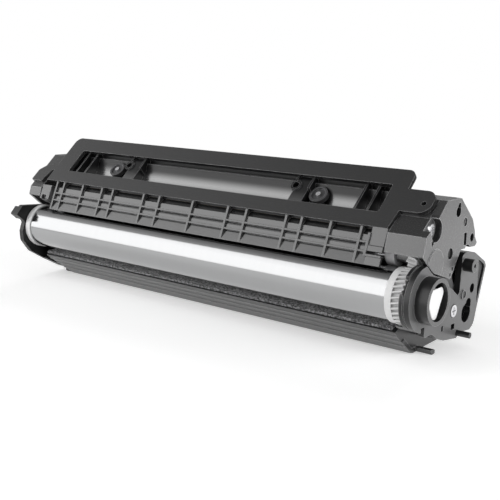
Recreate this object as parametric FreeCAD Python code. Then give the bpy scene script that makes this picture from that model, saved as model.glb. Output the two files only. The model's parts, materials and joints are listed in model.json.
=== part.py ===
import FreeCAD, Part
import math
import os

# Toner cartridge for A4 paper, in millimetres.
# Lengths run along X, from the contact end (-X) to the drive end (+X).
# Sections are given as (y, z) about the drum's axis: +Y away from the drum's open side, +Z up.
# The finished pieces are moved at the end, so that the origin is the middle of the base.

Vec = FreeCAD.Vector
ORIGIN = Vec(0, 0, 0)
ALONG = Vec(1, 0, 0)

# Clearances: round the rollers, in a bearing, beside a moving face, round the gears, under the frame
air_gap = 0.3
run_gap = 0.05
side_gap = 0.3
clearance = 0.8
seat_gap = 0.02
bite = 0.01
over = 1.0

# Drum, its flanges and its end gear
drum_half = 121.5
drum_radius = 12.0
drum_wall = 0.9
collar_width = 3.2
collar_lip = 0.5
left_ring = 4.2
plug_length = 9.0
earth_thickness = 0.5
axle_radius = 2.5
axle_head = 4.0
axle_head_width = 1.0
axle_reach = 8.0

# Gear train
gear_module = 0.76
gear_width = 4.6
helix_angle = 16.0
drum_teeth = 32
developer_teeth = 16
idler_teeth = 12
agitator_teeth = 24
idler_stud = 1.6

# Places of the shafts: angles from straight up towards +Y, or points
developer_angle = 20.0
charge_angle = 100.0
agitator_place = (24.5, 21.5)
pivot_place = (22.5, 15.9)

# Rollers and shafts
charge_radius = 4.5
charge_core = 2.5
sleeve_wall = 0.8
journal = 3.0
neck = 4.6
agitator_radius = 2.5
agitator_boss = 2.0
paddle_reach = 7.4
paddle_thickness = 0.4
saddle_wall = 1.7
saddle_back = 2.5
charge_spring_radius = 2.0
charge_spring_wire = 0.25
charge_spring_turns = 3
pivot_radius = 2.5

# Steps along the length, from one piece's end to the next
bin_setback = 0.5
tank_setback = 9.5
sleeve_setback = 3.5
guide_setback = 5.0
window_setback = 1.5
frame_past_left = 6.0
frame_past_right = 2.0
block_past = 0.6
saddle_gap = 1.5
saddle_width = 5.0
magnet_past = 11.0
webs_past = 3.0
left_cap_width = 8.0
shroud_width = 2.3
hopper_setback = 0.6
hopper_past_left = 4.0
cap_gap = 2.0

# Walls and end plates
wall = 2.0
plate_depth = 3.0
hopper_depth = 2.5
cap_depth = 3.0
plate_recess = 1.4
plate_rim = 1.4

# Drive boss, shroud and coupling on the right end plate
boss_outer = 10.3
boss_bore = 8.5
boss_length = 6.2
shroud_outer = 14.5
shroud_wall = 1.0
lobe_reach = 8.1
lobe_rounding = 2.6
lobe_length = 6.4
lobe_start = -10.0
lobe_twist = 40.0

# Locating pin and posts on the right end plate
pin_place = (32.0, -22.9)
pin_radius = 1.4
pin_length = 6.5
pin_root_radius = 1.6
post_place = (36.5, 8.5)
post_radius = 3.0
post_length = 5.0

# Screws and the springs between the two halves
screw_head = 2.9
screw_head_height = 1.4
screw_shank = 1.5
screw_slot = 0.7
screw_recess = 1.2
plate_screw_length = 9.0
cap_screw_length = 7.5
hopper_screw_length = 7.0
left_screw_length = 12.0
plate_screw_place = (27.4, -11.4)
cap_screw_place = (40.0, -8.0)
left_screw_place = (29.0, 31.0)
pocket_place = (8.4, 28.6)
pocket_radius = 5.0
pocket_depth = 3.6
face_disc_place = (8.5, 13.5)
face_disc_radius = 7.0
face_disc_height = 0.4
spring_place = (42.0, 10.45)
spring_inset = 3.4
spring_length = 6.8
spring_radius = 2.6
spring_wire = 0.3
spring_turns = 4

# Top frame: a plate that climbs backwards from its lower front edge
frame_angle = 41.0
frame_y = 1.0
frame_z = 28.2
frame_depth = 2.0
frame_climb = 34.3
window_low = 8.5
window_high = 24.8
ear_low = 10.6
ear_high = 23.4
ear_reach = 15.0
ear_hole = 1.2

# Ribbed guide under the frame, from the frame's lower edge to (guide_y, guide_z)
guide_y = -6.0
guide_z = 12.5
rib_width = 1.2
guide_rib_shares = (0.0, 0.2224, 0.3336, 0.5598, 0.6439, 0.7953, 0.9477)

# What stands in the window, as shares of the window's half width
cross_rib_shares = (-0.9640, -0.8957, 0.8640, 0.9300)
pillar_shares = ((-0.6040, -0.5240, -0.6090), (0.4980, 0.5730, 0.5010))
post_climb = 20.0
disc_shares = (("left", -0.7043), ("right", 0.6284))
disc_climb = 17.8
disc_radius = 4.8
disc_height = 2.4
disc_rim = 1.1
disc_top = 4.6
stud_radius = 0.9
post_outer = 3.0
post_bore = 1.8

# Toner filler plug
plug_place = (37.5, 27.0)
plug_radius = 4.0
plug_flange = 1.5

# Slot through which the toner reaches the sleeve
outlet_setback = 4.0
outlet_low = 13.5
outlet_high = 20.0

# Waste bin and tray
tray_top_y = -1.5
tray_top_z = -17.5
tray_low_y = 13.0
base_z = -31.0
base_back_y = 47.0
bin_front_y = 25.0
tongue_past = 8.0
felt_depth = 1.5
ridge_shares = (0.16, 0.40, 0.66)
ridge_width = 0.9
ridge_height = 0.3
blade_setback = 3.0

# Stations along the length that follow from the steps
gear_start = drum_half + collar_width
gear_end = gear_start + gear_width
plate_inner = gear_end + shroud_width
plate_x = plate_inner + plate_depth
hopper_x = plate_x - hopper_setback
hopper_inner = hopper_x - hopper_depth
bin_half = drum_half - bin_setback
cap_inner = drum_half + cap_gap
cap_x = cap_inner + cap_depth
hopper_left_x = cap_x + hopper_past_left
tank_half = drum_half - tank_setback
sleeve_half = tank_half - sleeve_setback
blade_half = tank_half - blade_setback
guide_half = tank_half - guide_setback
window_half = guide_half - window_setback
frame_left = tank_half + frame_past_left
frame_right = tank_half + frame_past_right
block_end = frame_right + block_past
charge_half = tank_half
saddle_inner = charge_half + saddle_gap
saddle_outer = saddle_inner + saddle_width
spring_x = tank_half - spring_inset
bearing_end = gear_start - 2 * side_gap
frame_tan = math.radians(frame_angle)

pieces = {}


def polar(distance, degrees):
    """The (y, z) point at a distance from the drum's axis, at an angle from straight up."""
    turn = math.radians(degrees)
    return (distance * math.sin(turn), distance * math.cos(turn))


def moved(point, dy, dz):
    return (point[0] + dy, point[1] + dz)


def outline(points, radius=0.0):
    """A closed wire in the XY plane with a tangent arc at each corner; a third number is its own radius."""
    edges = []
    spots = []
    count = len(points)
    for index in range(count):
        before = points[index - 1]
        here = points[index]
        after = points[(index + 1) % count]
        size = here[2] if len(here) > 2 else radius
        corner = Vec(here[0], here[1], 0)
        back = Vec(before[0], before[1], 0) - corner
        ahead = Vec(after[0], after[1], 0) - corner
        turn = back.getAngle(ahead)
        if size <= 0 or turn > math.radians(177):
            spots.append((corner, corner, corner))
            continue
        cut = min(size / math.tan(turn / 2.0), 0.45 * min(back.Length, ahead.Length))
        size = cut * math.tan(turn / 2.0)
        back.normalize()
        ahead.normalize()
        inward = back + ahead
        inward.normalize()
        centre = corner + inward * (size / math.sin(turn / 2.0))
        spots.append((corner + back * cut, centre - inward * size, corner + ahead * cut))
    for index in range(count):
        start, middle, end = spots[index]
        following = spots[(index + 1) % count][0]
        if (end - start).Length > 1e-6:
            edges.append(Part.Arc(start, middle, end).toShape())
        if (following - end).Length > 1e-6:
            edges.append(Part.LineSegment(end, following).toShape())
    return Part.Wire(edges)


def along_x(face, x_low, x_high):
    """A face drawn in the XY plane as (y, z), run along the length."""
    solid = face.extrude(Vec(0, 0, x_high - x_low))
    solid.rotate(ORIGIN, Vec(1, 1, 1), 120)
    solid.translate(Vec(x_low, 0, 0))
    return solid


def prism(points, x_low, x_high, radius=0.0):
    return along_x(Part.Face(outline(points, radius)), x_low, x_high)


def inset_prism(points, x_low, x_high, inset):
    """The same section pulled in by a wall, or pushed out where the inset is negative."""
    face = Part.Face(outline(points).makeOffset2D(-inset, 2))
    return along_x(face, x_low, x_high)


def block(x_low, x_high, y_low, y_high, z_low, z_high):
    return Part.makeBox(x_high - x_low, y_high - y_low, z_high - z_low, Vec(x_low, y_low, z_low))


def rod(x_low, x_high, radius, place=(0.0, 0.0)):
    return Part.makeCylinder(radius, x_high - x_low, Vec(x_low, place[0], place[1]), ALONG)


def tube(x_low, x_high, outer, inner, place=(0.0, 0.0)):
    return rod(x_low, x_high, outer, place).cut(rod(x_low - over, x_high + over, inner, place))


def joined(first, *others):
    return first.fuse(list(others)).removeSplitter()


def on_frame(climb, depth=0.0):
    """The (y, z) point a distance up the frame's slope, and a depth below its face."""
    y = frame_y + climb * math.cos(frame_tan) + depth * math.sin(frame_tan)
    z = frame_z + climb * math.sin(frame_tan) - depth * math.cos(frame_tan)
    return (y, z)


def frame_slab(points, top, bottom, radius=0.0):
    """A plate in the frame's slope, drawn as (x, climb), between two depths below its face."""
    solid = Part.Face(outline(points, radius)).extrude(Vec(0, 0, bottom - top))
    solid.translate(Vec(0, 0, -bottom))
    solid.rotate(ORIGIN, ALONG, frame_angle)
    solid.translate(Vec(0, frame_y, frame_z))
    return solid


def frame_rod(x, climb, radius, top, bottom):
    """A round bar square to the frame's slope, between two depths below its face."""
    start = on_frame(climb, bottom)
    way = Vec(0, -math.sin(frame_tan), math.cos(frame_tan))
    return Part.makeCylinder(radius, bottom - top, Vec(x, start[0], start[1]), way)


guide_length = math.hypot(guide_y - frame_y, guide_z - frame_z)
guide_down = ((guide_y - frame_y) / guide_length, (guide_z - frame_z) / guide_length)


def on_guide(down, depth=0.0):
    """The (y, z) point a distance down the guide's front line, and a depth behind it."""
    y = frame_y + down * guide_down[0] - depth * guide_down[1]
    z = frame_z + down * guide_down[1] + depth * guide_down[0]
    return (y, z)


def helical_gear(teeth, bore, place, phase, hand):
    """A gear with its tooth centres at the phase angle, twisted along its width."""
    pitch = gear_module * teeth / 2.0
    step = 2.0 * math.pi / teeth
    profile = ((-1.1, -0.33), (0.9, -0.1), (0.9, 0.1), (-1.1, 0.33))
    points = []
    for tooth in range(teeth):
        for rise, side in profile:
            angle = phase + (tooth + side) * step
            reach = pitch + rise * gear_module
            points.append((reach * math.cos(angle), reach * math.sin(angle)))
    lower = outline(points)
    upper = lower.copy()
    twist = hand * gear_width * math.tan(math.radians(helix_angle)) / pitch
    upper.rotate(ORIGIN, Vec(0, 0, 1), math.degrees(twist))
    upper.translate(Vec(0, 0, gear_width))
    solid = Part.makeLoft([lower, upper], True, True)
    solid.rotate(ORIGIN, Vec(1, 1, 1), 120)
    solid.translate(Vec(gear_start, place[0], place[1]))
    if bore > 0:
        solid = solid.cut(rod(gear_start - over, gear_end + over, bore, place))
    return solid


def pitch_distance(first_teeth, second_teeth):
    return gear_module * (first_teeth + second_teeth) / 2.0


def third_corner(first, second, first_reach, second_reach):
    """The point at two given distances from two others, on their lower side."""
    dy = second[0] - first[0]
    dz = second[1] - first[1]
    span = math.hypot(dy, dz)
    along = (first_reach ** 2 - second_reach ** 2 + span ** 2) / (2.0 * span)
    aside = math.sqrt(first_reach ** 2 - along ** 2)
    y = first[0] + along * dy / span + aside * dz / span
    z = first[1] + along * dz / span - aside * dy / span
    return (y, z)


def meshed_phase(first, first_teeth, first_phase, second, second_teeth):
    """The phase of the second gear that puts its gap on the first gear's tooth."""
    facing = math.atan2(second[1] - first[1], second[0] - first[0])
    step = 2.0 * math.pi / first_teeth
    offset = (first_phase - facing) % step
    return facing + math.pi + math.pi / second_teeth - offset * first_teeth / second_teeth


drum_place = (0.0, 0.0)
developer_place = polar(pitch_distance(drum_teeth, developer_teeth), developer_angle)
developer_y, developer_z = developer_place
sleeve_radius = pitch_distance(drum_teeth, developer_teeth) - drum_radius - air_gap
sleeve_bore = sleeve_radius - sleeve_wall
magnet_radius = sleeve_bore - air_gap
charge_place = polar(drum_radius + air_gap + charge_radius, charge_angle)
charge_y, charge_z = charge_place
idler_place = third_corner(
    developer_place,
    agitator_place,
    pitch_distance(developer_teeth, idler_teeth),
    pitch_distance(idler_teeth, agitator_teeth))
drum_phase = math.atan2(developer_z, developer_y)
developer_phase = meshed_phase(drum_place, drum_teeth, drum_phase, developer_place, developer_teeth)
idler_phase = meshed_phase(developer_place, developer_teeth, developer_phase, idler_place, idler_teeth)
agitator_phase = meshed_phase(idler_place, idler_teeth, idler_phase, agitator_place, agitator_teeth)


# Drum: a coated aluminium tube between two white flanges, which the left axle pin and the boss carry
def make_drum():
    ring_end = left_ring - cap_inner
    pieces["drum_tube"] = tube(ring_end, drum_half, drum_radius, drum_radius - drum_wall)
    plug_fit = drum_radius - drum_wall
    collar_radius = drum_radius + collar_lip
    journal_end = plate_inner + over
    plug = rod(drum_half - plug_length, drum_half, plug_fit)
    collar = rod(drum_half, gear_start, collar_radius)
    gear = helical_gear(drum_teeth, 0.0, drum_place, drum_phase, 1)
    bearing = rod(gear_end, journal_end, boss_bore - run_gap)
    lobes = make_coupling(journal_end)
    pieces["drum_drive_flange"] = joined(plug, collar, gear, bearing, lobes)
    inner_end = plug_length - drum_half
    hub = joined(rod(ring_end, inner_end, plug_fit), rod(side_gap - cap_inner, ring_end, collar_radius))
    pieces["drum_contact_flange"] = hub.cut(rod(-cap_inner - over, 0, axle_radius + run_gap))
    pieces["drum_earth_plate"] = tube(inner_end, inner_end + earth_thickness, plug_fit, axle_radius + run_gap)
    head = rod(-cap_x - axle_head_width, -cap_x, axle_head)
    pieces["drum_axle_pin"] = joined(head, rod(-cap_x, axle_reach - cap_inner, axle_radius))


def make_coupling(start):
    """The twisted three-lobed end that the machine's drive takes hold of."""
    stages = 4
    sections = []
    for stage in range(stages):
        share = stage / (stages - 1.0)
        corners = []
        for corner in range(3):
            angle = math.radians(120 * corner + lobe_start + lobe_twist * share)
            reach = lobe_reach + lobe_rounding
            corners.append((reach * math.cos(angle), reach * math.sin(angle)))
        wire = outline(corners, lobe_rounding)
        wire.translate(Vec(0, 0, lobe_length * share))
        sections.append(wire)
    lobes = Part.makeLoft(sections, True, True)
    lobes.rotate(ORIGIN, Vec(1, 1, 1), 120)
    lobes.translate(Vec(start, 0, 0))
    return lobes


# Charge roller: conductive rubber on a steel core, pressed to the drum by a saddle and spring at each end
def make_charge_roller():
    half_height = charge_core + saddle_wall
    back_y = charge_y + charge_core + saddle_back
    pieces["charge_roller_core"] = rod(-saddle_outer, saddle_outer, charge_core, charge_place)
    pieces["charge_roller_rubber"] = tube(-charge_half, charge_half, charge_radius, charge_core, charge_place)
    for name, low in (("left", -saddle_outer), ("right", saddle_inner)):
        high = low + saddle_width
        body = prism(
            ((charge_y - 1.5, charge_z - half_height), (back_y, charge_z - half_height),
             (back_y, charge_z + half_height), (charge_y - 1.5, charge_z + half_height)), low, high, 0.8)
        fit = charge_core + run_gap
        mouth = block(low - over, high + over, charge_y - 5, charge_y, charge_z - fit, charge_z + fit)
        seat = rod(low - over, high + over, fit, charge_place)
        pieces["charge_saddle_" + name] = body.cut(mouth.fuse(seat))
        spring = coil(bin_front_y - back_y, charge_spring_radius, charge_spring_wire, charge_spring_turns)
        spring.rotate(ORIGIN, ALONG, -90)
        spring.translate(Vec((low + high) / 2.0, back_y, charge_z))
        pieces["charge_spring_" + name] = spring


def coil(height, radius, wire, turns):
    """A compression spring standing on the XY plane, its wire a hexagon in section."""
    steps = 10
    reach = radius - wire
    climb = height - 2.0 * wire
    sections = []
    for step in range(turns * steps + 1):
        angle = 2.0 * math.pi * step / steps
        rise = wire + climb * step / (turns * steps)
        corners = []
        for corner in range(7):
            side = math.radians(60 * corner)
            across = reach + wire * math.cos(side)
            height_here = rise + wire * math.sin(side)
            corners.append(Vec(across * math.cos(angle), across * math.sin(angle), height_here))
        sections.append(Part.makePolygon(corners))
    return Part.makeLoft(sections, True, True)


# Waste bin: the moulded tub behind and under the drum, with the tray that guides the paper in front
bin_outline = (
    (tray_top_y, tray_top_z, 0.6), (tray_low_y, base_z + 0.5, 1.0), (tray_low_y + 2.0, base_z, 0.5),
    (base_back_y, base_z, 3.0), (51.5, -27.0, 4.0), (57.0, -6.0, 4.0), (58.0, 2.5, 3.0),
    (46.5, 10.5, 2.0), (34.0, 9.5, 1.0), (34.0, 0.5, 1.5),
    (bin_front_y, 0.5, 0.5), (bin_front_y, -9.0, 1.0), (19.0, -10.6, 0.5), (14.2, -12.6, 0.5),
    (5.0, -15.6, 0.5))
bin_chamber = (
    (14.0, -16.0), (11.5, -19.5), (15.5, base_z + wall), (base_back_y - 0.5, base_z + wall), (49.7, -26.0),
    (55.0, -5.5), (55.8, 1.6), (46.0, 8.4), (36.2, 7.6), (36.2, -2.0), (bin_front_y + 2.2, -2.0),
    (bin_front_y + 2.2, -11.5))


def make_waste_bin():
    body = prism(bin_outline, -bin_half, bin_half, 1.0)
    chamber = prism(bin_chamber, wall - bin_half, bin_half - wall, 1.5)
    mouth = prism(((13.0, -10.5), (17.5, -9.2), (20.5, -16.0), (13.5, -17.5)), -blade_half, blade_half)
    body = body.cut(chamber).cut(mouth)
    body = joined(body, make_tongue(), gear_wall(), *tray_ridges())
    floor_z = charge_z - charge_core - saddle_wall - 0.4
    for low in (-saddle_outer - saddle_gap, saddle_inner - saddle_gap):
        high = low + saddle_width + 2.0 * saddle_gap
        body = body.cut(block(low, high, charge_y - 4, bin_front_y, floor_z, 10.0))
    body = body.cut(rod(-bin_half - over, bin_half + over, drum_radius + 1.4))
    pieces["waste_bin"] = body.cut(tray_cut_back())


def tray_ridges():
    """Three fine ridges that run along the tray's front face."""
    reach = math.hypot(tray_low_y - tray_top_y, base_z + 0.5 - tray_top_z)
    along = ((tray_low_y - tray_top_y) / reach, (base_z + 0.5 - tray_top_z) / reach)
    ridges = []
    for share in ridge_shares:
        y = tray_top_y + share * reach * along[0]
        z = tray_top_z + share * reach * along[1]
        foot = moved((y, z), -0.3 * along[1], 0.3 * along[0])
        section = (
            foot, moved(foot, ridge_width * along[0], ridge_width * along[1]),
            (y + 0.8 * ridge_width * along[0] + ridge_height * along[1],
             z + 0.8 * ridge_width * along[1] - ridge_height * along[0]),
            (y + ridge_height * along[1], z - ridge_height * along[0]))
        ridges.append(prism(section, -bin_half, bin_half))
    return ridges


def tray_cut_back():
    """What is missing from the tray's left end, which slants inwards towards the base."""
    corners = (
        (-bin_half - over, -8.0), (-bin_half + 1.0, tray_top_y - over), (8.0 - bin_half, tray_low_y - 0.5),
        (8.0 - bin_half, tray_low_y + 1.5), (-bin_half - over, tray_low_y + 1.5))
    slice_above = Part.Face(outline(corners)).extrude(Vec(0, 0, 18.0))
    slice_above.translate(Vec(0, 0, base_z - over))
    return slice_above


def make_tongue():
    """The tray's front face runs on past the right end as a flat tongue."""
    tip = drum_half + tongue_past
    section = ((5.0, -23.3), (tray_low_y, base_z + 0.5), (tray_low_y + 2.0, base_z), (21.0, base_z),
               (21.0, base_z + wall), (14.0, -28.3), (7.0, -22.0))
    tongue = prism(section, bin_half - wall, tip, 0.4)
    slant = prism(((4.0, -34.0), (4.0, -20.0), (12.5, -20.0), (20.0, -34.0)), tip - 8.0, tip + over)
    return tongue.cut(slant)


def gear_wall():
    """The bin's wall runs on to the right end plate, open round the drum and under the hopper."""
    low = bin_half - bite
    wall_run = prism(plate_outline, low, plate_inner)
    wall_run = wall_run.cut(inset_prism(plate_outline, low - over, plate_inner + over, wall))
    wall_run = wall_run.cut(block(low - over, plate_inner + over, -20, 18, -40, 20))
    wall_run = wall_run.cut(block(low - over, plate_inner + over, 0, 36.5, -10, 20))
    return wall_run.cut(inset_prism(hopper_outline, gear_start, plate_inner + over, -clearance))


# Wiper: a steel bracket on the bin's front lip, with the urethane blade that scrapes the drum
lip = (14.2, -12.6)
lip_back = (19.0, -10.6)


def make_wiper():
    pieces["wiper_bracket"] = prism(
        (moved(lip, 0.4, 0.2), moved(lip_back, -0.5, -0.2), moved(lip_back, -0.9, 0.8), moved(lip, 0.9, 1.5),
         moved(lip, -1.6, 3.0), moved(lip, -2.2, 2.1)), -blade_half - over, blade_half + over)
    tip = polar(drum_radius + air_gap, 124.0)
    pieces["wiper_blade"] = prism(
        (moved(lip, -1.55, 3.05), moved(lip, 0.2, 2.05), moved(lip, 0.9, 3.4), moved(tip, 0.75, 1.2), tip),
        -blade_half, blade_half)
    end = polar(drum_radius + air_gap + 0.1, 150.0)
    pieces["recovery_film"] = prism(
        ((11.8, -13.35), (11.7, -13.0), (9.4, -13.7), end, moved(end, -0.25, -0.3), (9.2, -14.15)),
        over - blade_half, blade_half - over)


def make_felt():
    start = (tray_top_y + 1.2, tray_top_z + 0.62)
    points = (start, moved(start, -0.45, felt_depth), (4.4, -14.15), (4.9, -15.55))
    felt = prism(points, wall - bin_half, bin_half - wall, 0.3)
    pieces["drum_felt"] = felt.cut(tray_cut_back())


# Right end plate: carries the drum's drive end in its boss and closes the bin
plate_outline = (
    (0.0, -14.0), (0.1, -17.2, 1.0), (6.9, -17.2, 2.0), (12.4, -20.7, 2.0), (18.4, -23.1, 3.0),
    (31.5, -25.3, 1.5), (34.3, -23.3, 1.0), (44.9, -24.6, 1.5), (49.0, -22.9, 5.0), (52.2, -14.3, 6.0),
    (59.7, 3.8, 2.0), (57.7, 6.2, 2.0), (46.5, 12.5, 2.0), (36.9, 14.0, 1.5), (34.0, 13.0, 1.0),
    (32.5, -4.1, 1.5), (30.6, -4.8, 1.5), (23.6, 0.2, 1.0), (10.0, 4.0))
hopper_outline = (
    (17.9, 40.4), (31.0, 39.8), (43.6, 28.4), (46.5, 22.4), (46.8, 20.0), (49.4, 16.2), (46.9, 15.2),
    (42.1, 15.6), (40.5, 17.2), (38.0, 17.2), (36.8, 15.8), (32.9, 16.1), (28.5, 11.1), (26.0, 7.0),
    (23.4, 4.1), (19.3, 5.8), (6.7, 10.2), (3.3, 12.9), (-3.0, 18.6), (-0.3, 26.9), (4.5, 30.0), (11.4, 34.6))
pivot_arm = (
    (16.0, 14.5), (17.5, 20.5), (22.5, 22.0), (27.5, 20.0), (31.0, 2.0), (36.0, -6.0), (30.0, -10.0),
    (22.0, -4.0), (16.5, 8.5))
arm_foot = ((29.0, -9.5), (36.0, -9.5), (36.0, -5.0), (33.5, -4.0), (29.5, -4.5))


def make_right_plate():
    start = gear_end + side_gap
    boss_end = plate_x + boss_length
    body = joined(prism(plate_outline, plate_inner, plate_x), plate_shroud(), plate_trim())
    body = body.cut(inset_prism(hopper_outline, gear_start, plate_x + bite, -clearance))
    arm = prism(pivot_arm, start, hopper_inner - 0.2, 2.0)
    foot = prism(arm_foot, start, plate_inner + 0.5)
    body = joined(body, rod(start, boss_end, boss_outer), arm, foot)
    body = body.cut(rod(bin_half, boss_end + over, boss_bore))
    pieces["end_plate_right"] = body.cut(plate_holes())
    free = rod(plate_x, plate_x + pin_length, pin_radius, pin_place)
    pieces["locating_pin"] = joined(rod(plate_inner, plate_x, pin_root_radius, pin_place), free)


def plate_shroud():
    """The round cover over the drum's gear: a full ring at its end, and a lip under the teeth."""
    inner = shroud_outer - shroud_wall
    disc = rod(plate_inner, plate_x, shroud_outer)
    ring = tube(gear_end + side_gap, plate_inner, shroud_outer, inner)
    lip_ring = tube(gear_start + over, plate_inner, shroud_outer, inner)
    lip_ring = lip_ring.cut(block(gear_start, plate_inner + over, -20, 20, -11.0, 20))
    lip_ring = lip_ring.cut(block(gear_start, plate_inner + over, 9.0, 20, -20, 20))
    slot = block(gear_end + side_gap - over, plate_inner, -16.0, -9.0, 4.6, 11.6)
    groove = tube(plate_inner - 0.3, plate_inner + 0.3, shroud_outer + over, shroud_outer - 0.4)
    return joined(disc, ring, lip_ring).cut(slot).cut(groove)


def plate_trim():
    """The round post and the small ring on the plate's face."""
    post_end = plate_x + post_length
    post = rod(plate_x, post_end, post_radius, post_place)
    post = post.cut(rod(post_end - 3.0, post_end + over, post_radius - 2.0, post_place))
    ring = tube(plate_x, plate_x + 0.6, 2.3, 1.7, (36.3, -5.6))
    return joined(post, ring)


def plate_holes():
    low = plate_inner - over
    high = plate_x + over
    recess = inset_prism(plate_outline, plate_x - plate_recess, high, plate_rim)
    recess = recess.common(block(plate_x - plate_recess, high, 51.0, 70.0, -14.0, 20.0))
    holes = [
        recess,
        rod(low, high, 2.3, (45.5, -4.5)),
        rod(low, high, 4.6, (40.2, -15.2)),
        rod(low, high, 2.8, (42.4, -11.4)),
        block(low, high, 25.4, 29.1, -20.2, -17.4),
        block(low, high, 16.0, 17.6, -18.6, -15.9),
        block(low, high, -3.2, 0.1, -15.8, -12.1),
        rod(plate_x - screw_recess, high, screw_head + 0.4, plate_screw_place)]
    return holes


# Left end cap: carries the drum's axle pin
cap_outline = (
    (1.0, 12.4), (-8.0, 13.3, 1.0), (-13.4, 13.8, 0.6), (-18.0, 9.0, 0.8), (-13.2, 4.6, 1.0),
    (-12.7, 3.4, 1.0), (-14.6, -1.5, 3.0), (-14.2, -7.3, 4.0), (-8.9, -14.7, 3.0), (1.2, -21.2, 2.0),
    (13.0, -28.0, 2.0), (44.0, -27.5, 4.0), (50.0, -23.0, 5.0), (54.5, -8.0, 5.0), (59.0, 3.0, 2.5),
    (46.5, 12.5, 2.0), (37.5, 13.5, 1.5), (34.0, 12.5, 1.0), (32.0, 4.0, 3.0), (27.5, 19.5, 4.0),
    (22.5, 21.5, 4.0), (17.5, 19.5, 4.0), (16.0, 10.0, 3.0))
clip_outline = ((-13.4, 13.8), (-18.0, 9.0), (-13.2, 4.6))


def make_left_cap():
    plate = prism(cap_outline, -cap_x, -cap_inner)
    skirt = prism(cap_outline, -cap_inner, -bin_half)
    skirt = skirt.cut(inset_prism(cap_outline, -cap_inner - over, over - bin_half, wall))
    skirt = skirt.cut(block(-cap_inner - over, over - bin_half, -30, 14, -20, 30))
    skirt = skirt.cut(block(-cap_inner - over, over - bin_half, 0, 33, -10, 30))
    clip = prism(clip_outline, -cap_x - 3.0, -cap_x, 0.6)
    body = joined(plate, skirt, clip)
    pieces["end_cap_left"] = body.cut(rod(-cap_x - over, -cap_inner + over, axle_radius))


# Hopper: the toner tank
tank_top = (22.0, 40.6)
tank_front_y = 13.2
scoop_low = (tank_front_y, 27.0)
scoop_bend = (18.9, 32.4)
tank_outline = (
    (tank_top[0], tank_top[1], 0.5), (31.0, 39.3, 3.0), (43.0, 28.0, 3.0), (46.0, 22.4, 2.0),
    (45.5, 18.5, 1.5), (34.5, 16.6, 3.0), (30.5, 12.6, 4.0), (tank_front_y, 8.6, 1.0),
    (tank_front_y, scoop_low[1], 0.5))


def tank_section(inset):
    """The tank's section, with its scooped front wall as an arc."""
    top = Vec(tank_top[0], tank_top[1], 0)
    low = Vec(scoop_low[0], scoop_low[1], 0)
    bend = Vec(scoop_bend[0], scoop_bend[1], 0)
    arc = Part.Arc(top, bend, low).toShape()
    chord = Part.LineSegment(low, top).toShape()
    scoop = Part.Face(Part.Wire([arc, chord]))
    face = Part.Face(outline(tank_outline)).cut(scoop).Faces[0]
    if inset > 0:
        face = Part.Face(face.OuterWire.makeOffset2D(-inset, 2))
    return face


def make_tank():
    body = along_x(tank_section(0.0), -tank_half, tank_half)
    body = body.cut(along_x(tank_section(wall), wall - tank_half, tank_half - wall))
    outlet_half = sleeve_half - outlet_setback
    outlet_back = tank_front_y + wall + over
    outlet = block(-outlet_half, outlet_half, tank_front_y - over, outlet_back, outlet_low, outlet_high)
    body = body.cut(outlet)
    bearing = agitator_radius + run_gap
    body = body.cut(rod(-tank_half - over, tank_half + over, bearing, agitator_place))
    boss = tube(tank_half - bite, bearing_end, agitator_radius + agitator_boss, bearing, agitator_place)
    stud = rod(tank_half - wall, gear_end + side_gap, idler_stud, idler_place)
    screw_boss = rod(2.0 - hopper_left_x, over - tank_half, screw_shank + 1.7, left_screw_place)
    body = joined(body, boss, stud, screw_boss, *window_webs())
    for share in pillar_shares:
        x = share[2] * window_half
        body = body.cut(frame_rod(x, post_climb, post_bore, frame_depth, frame_depth + 5.0))
    pieces["toner_tank"] = body.cut(rod(-tank_half - over, wall + over - tank_half, plug_radius, plug_place))
    flange = rod(-tank_half - plug_flange, -tank_half, plug_radius + 1.5, plug_place)
    pieces["fill_plug"] = joined(flange, rod(-tank_half, wall + 1.5 - tank_half, plug_radius, plug_place))


def window_webs():
    """The cross ribs, pillars and round posts that carry the frame over the scooped wall."""
    webs = []
    for share in cross_rib_shares:
        x = share * window_half
        webs.append(scoop_web(x - rib_width / 2.0, x + rib_width / 2.0, frame_depth + 0.1))
    for low_share, high_share, post_share in pillar_shares:
        low = low_share * window_half
        high = high_share * window_half
        post_x = post_share * window_half
        webs.append(scoop_web(low, high, frame_depth + 1.2))
        for x in (low - rib_width, high):
            short_web = scoop_web(x, x + rib_width, frame_depth + 0.1)
            webs.append(short_web.cut(below_window(x - over, x + rib_width + over)))
        webs.append(frame_rod(post_x, post_climb, post_outer, frame_depth + 0.4, frame_depth + 8.0))
    web_end = window_half + webs_past
    for low in (-web_end, web_end - wall):
        webs.append(scoop_web(low, low + wall, frame_depth + seat_gap))
    rail_depth = frame_depth + seat_gap
    rail = (on_frame(29.0, rail_depth), on_frame(30.8, rail_depth), (26.3, 39.9), (24.5, 39.9))
    webs.append(prism(rail, -web_end, web_end))
    return webs


def scoop_web(x_low, x_high, depth):
    """A web that stands on the tank's scooped wall and reaches up to a depth below the frame's face."""
    return prism(
        (on_frame(4.0, depth), on_frame(29.5, depth), (25.6, 40.0), (22.0, 40.3), (20.6, 36.0), (18.6, 31.6),
         (15.0, 28.0), (13.6, 26.6)), x_low, x_high)


def below_window(x_low, x_high):
    """The space in front of a short web, which shows only along the window's upper edge."""
    section = (on_frame(-2.0, 0.0), on_frame(19.0, 0.0), on_frame(17.0, 14.0), on_frame(-2.0, 14.0))
    return prism(section, x_low, x_high)


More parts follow.
